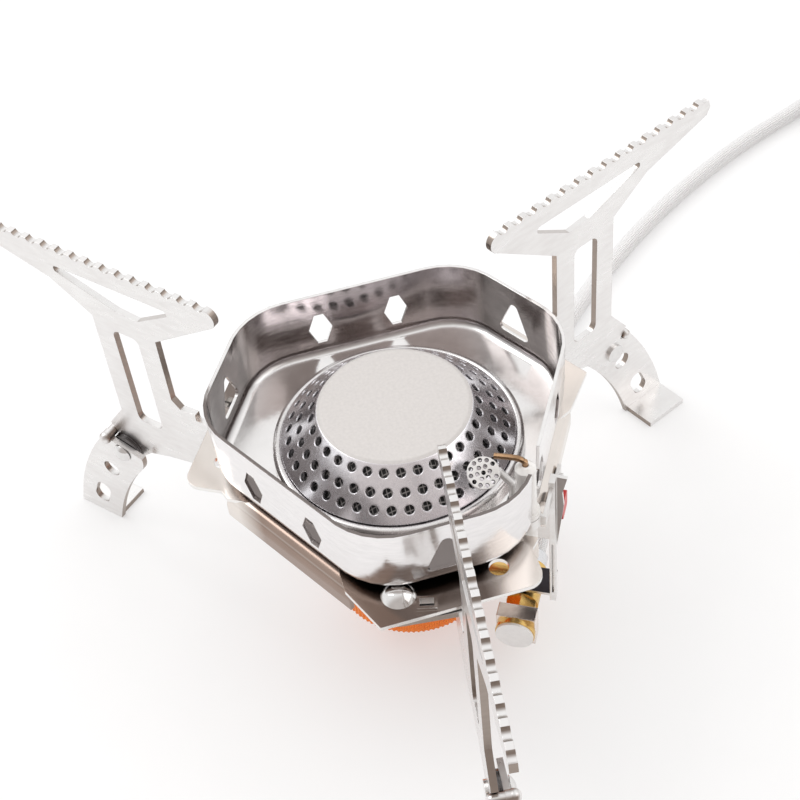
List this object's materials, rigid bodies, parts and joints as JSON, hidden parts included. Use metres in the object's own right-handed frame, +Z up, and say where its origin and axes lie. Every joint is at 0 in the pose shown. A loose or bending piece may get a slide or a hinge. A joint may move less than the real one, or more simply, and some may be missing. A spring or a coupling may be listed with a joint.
{
  "type": "camp stove",
  "caption": "Remote-canister camp stove: burner in a windscreen pan on a lobed base plate, folding serrated pot supports with hinged feet, spark igniter, gas hose and valve.",
  "frame": {"origin": "middle of the stove's footprint at table height, without the hose and valve", "axes": "+Z up out of the burner, -Y towards the front pot support, +X towards the right pot support's side"},
  "size_m": [0.301, 0.251, 0.0895],
  "materials": {
    "plate_steel": "pressed stainless sheet with a warm tint",
    "pan_steel": "rolled stainless sheet, satin",
    "burner_steel": "satin grey heat-proof steel",
    "support_steel": "bright satin stainless sheet with plain cut edges",
    "bright_rivet": "polished rivet heads",
    "dark_spring": "dark spring steel",
    "gauze": "dark fine wire gauze",
    "anodised": "orange anodised, reeded rim",
    "brass": "turned brass",
    "fitting_steel": "plain machined steel",
    "screw_steel": "plated steel",
    "ceramic": "white glazed ceramic",
    "bronze_wire": "heat-tinted electrode wire",
    "red_plastic": "red moulded button",
    "black_plastic": "black moulded plastic",
    "rubber_black": "black rubber",
    "hose": "pale grey braided hose",
    "valve_metal": "turned aluminium"
  },
  "bodies": {
    "stove": {"base_plate": "plate_steel", "support_rivets": "bright_rivet", "support_washers": "dark_spring", "windscreen_pan": "pan_steel", "burner_bowl": "burner_steel", "burner_ring": "pan_steel", "burner_cap": "burner_steel", "burner_gauze": "gauze", "burner_screws": "screw_steel", "pillars": "screw_steel", "mixing_tube": "burner_steel", "mixing_base": "anodised", "gas_jet": "brass", "jet_seal": "rubber_black", "inlet_body": "brass", "inlet_hexagon": "brass", "inlet_block": "fitting_steel", "inlet_disc": "brass", "inlet_plug": "screw_steel", "igniter_bracket": "support_steel", "bracket_rivets": "bright_rivet", "piezo_housing": "black_plastic", "button_spring": "screw_steel", "electrode_clip": "support_steel", "electrode_ceramic": "ceramic", "electrode_wire": "bronze_wire", "ignition_lead": "rubber_black", "spark_target": "screw_steel", "inlet_ferrule": "valve_metal", "hose_run": "hose", "hose_coil": "hose", "hose_tie": "black_plastic", "hose_tail": "hose", "valve_ferrule": "valve_metal", "valve_body": "valve_metal", "valve_collar": "valve_metal", "valve_seal": "rubber_black", "valve_pin": "brass"},
    "support_front": {"support_front": "support_steel", "foot_rivet_front": "bright_rivet", "foot_washers_front": "dark_spring"},
    "foot_front": {"foot_front": "support_steel"},
    "support_right": {"support_right": "support_steel", "foot_rivet_right": "bright_rivet", "foot_washers_right": "dark_spring"},
    "foot_right": {"foot_right": "support_steel"},
    "support_left": {"support_left": "support_steel", "foot_rivet_left": "bright_rivet", "foot_washers_left": "dark_spring"},
    "foot_left": {"foot_left": "support_steel"},
    "button": {"igniter_button": "red_plastic"},
    "knob": {"valve_knob": "black_plastic", "valve_stem": "screw_steel", "knob_screw": "screw_steel"}
  },
  "joints": [
    {"name": "swing_front", "type": "hinge", "parent": "stove", "child": "support_front", "pos_m": [-0.01577, -0.01964, 0.05075], "axis": [0, 0, 1], "range_deg": [-143, 7]},
    {"name": "fold_front", "type": "hinge", "parent": "support_front", "child": "foot_front", "pos_m": [-0.00579, -0.05325, 0.0297], "axis": [0.9925, -0.1219, 0], "range_deg": [0, 95]},
    {"name": "swing_right", "type": "hinge", "parent": "stove", "child": "support_right", "pos_m": [0.0309, 0.02573, 0.05075], "axis": [0, 0, 1], "range_deg": [-145, 5]},
    {"name": "fold_right", "type": "hinge", "parent": "support_right", "child": "foot_right", "pos_m": [0.05412, 0.052, 0.0297], "axis": [-0.4226, 0.9063, 0], "range_deg": [0, 95]},
    {"name": "swing_left", "type": "hinge", "parent": "stove", "child": "support_left", "pos_m": [-0.03173, 0.04347, 0.05075], "axis": [0, 0, 1], "range_deg": [-132, 18]},
    {"name": "fold_left", "type": "hinge", "parent": "support_left", "child": "foot_left", "pos_m": [-0.06363, 0.05799, 0.0297], "axis": [-0.7431, -0.6691, 0], "range_deg": [0, 95]},
    {"name": "button_press", "type": "slide", "parent": "stove", "child": "button", "axis": [-0.866, 0.5, 0], "range_m": [0, 0.0018], "stiffness_N_per_m": 600},
    {"name": "valve_turn", "type": "hinge", "parent": "stove", "child": "knob", "pos_m": [0.14858, 0.08253, 0.021], "axis": [-0.8536, -0.521, 0], "range_deg": [0, 540]}
  ]
}
